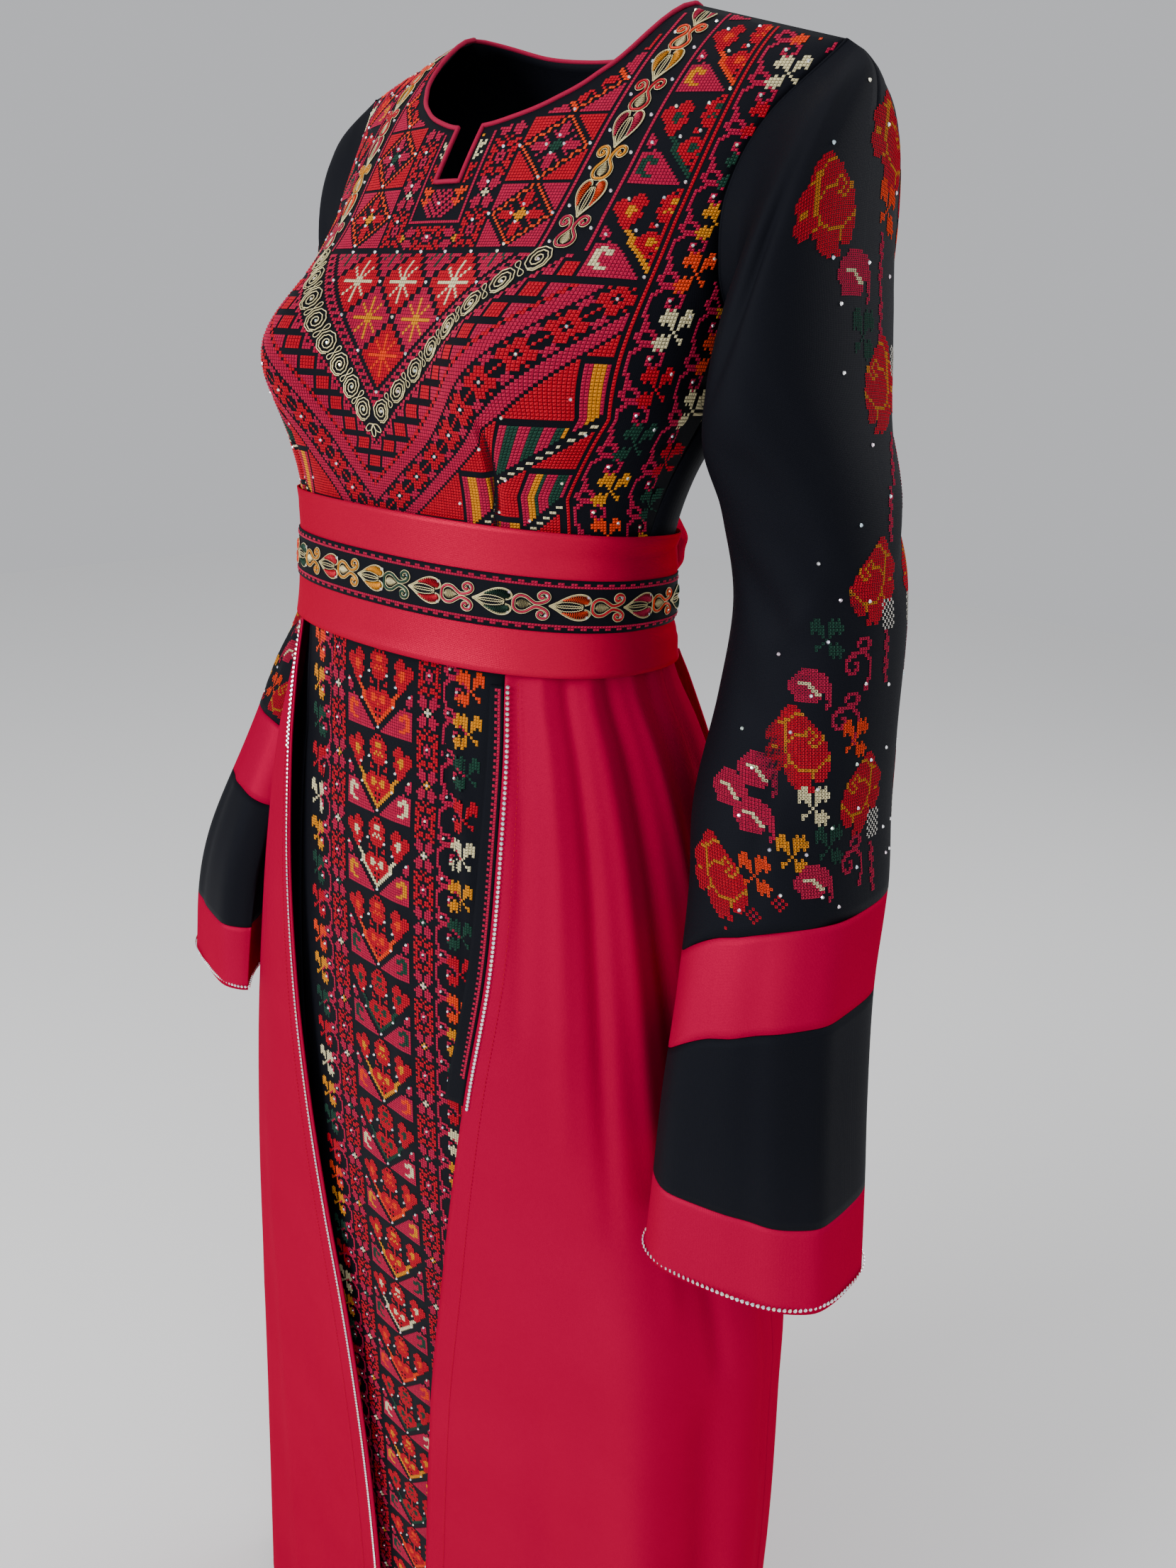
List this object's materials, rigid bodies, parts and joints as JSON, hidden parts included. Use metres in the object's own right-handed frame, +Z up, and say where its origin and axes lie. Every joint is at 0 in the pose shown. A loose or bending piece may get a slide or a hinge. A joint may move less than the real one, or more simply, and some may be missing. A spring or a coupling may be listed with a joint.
{
  "type": "palestinian thobe dress",
  "caption": "Long black and crimson thobe with an embroidered bodice, sleeves, belt and front panel under an open overskirt.",
  "frame": {"origin": "between the shoulders of the wearer, level with the base of the neck", "axes": "+Z up, the front faces -Y, +X is the wearer's left"},
  "size_m": [0.6497, 0.2733, 1.49],
  "materials": {
    "black_crepe": "matt crepe with cross-stitch on it",
    "crimson_satin": "soft satin sheen",
    "rose_piping": "matt folded binding",
    "crystal_trim": "small cut stones in rows"
  },
  "bodies": {
    "root": {"bodice_front": "black_crepe", "bodice_back": "black_crepe", "sleeve_left": "black_crepe", "sleeve_right": "black_crepe", "sleeve_black_band_left": "black_crepe", "sleeve_black_band_right": "black_crepe", "belt_band": "black_crepe", "skirt_panel": "black_crepe", "underskirt_left": "black_crepe", "underskirt_back": "black_crepe", "underskirt_right": "black_crepe", "edge_strip_left": "black_crepe", "sleeve_upper_band_left": "crimson_satin", "sleeve_upper_band_right": "crimson_satin", "sleeve_cuff_left": "crimson_satin", "sleeve_cuff_right": "crimson_satin", "belt": "crimson_satin", "belt_knot": "crimson_satin", "belt_tail_left": "crimson_satin", "belt_tail_right": "crimson_satin", "overskirt_left": "crimson_satin", "overskirt_back": "crimson_satin", "overskirt_right": "crimson_satin", "neck_binding": "rose_piping", "cuff_trim_left": "crystal_trim", "cuff_trim_right": "crystal_trim", "edge_trim_left": "crystal_trim", "edge_trim_right": "crystal_trim"}
  },
  "joints": []
}
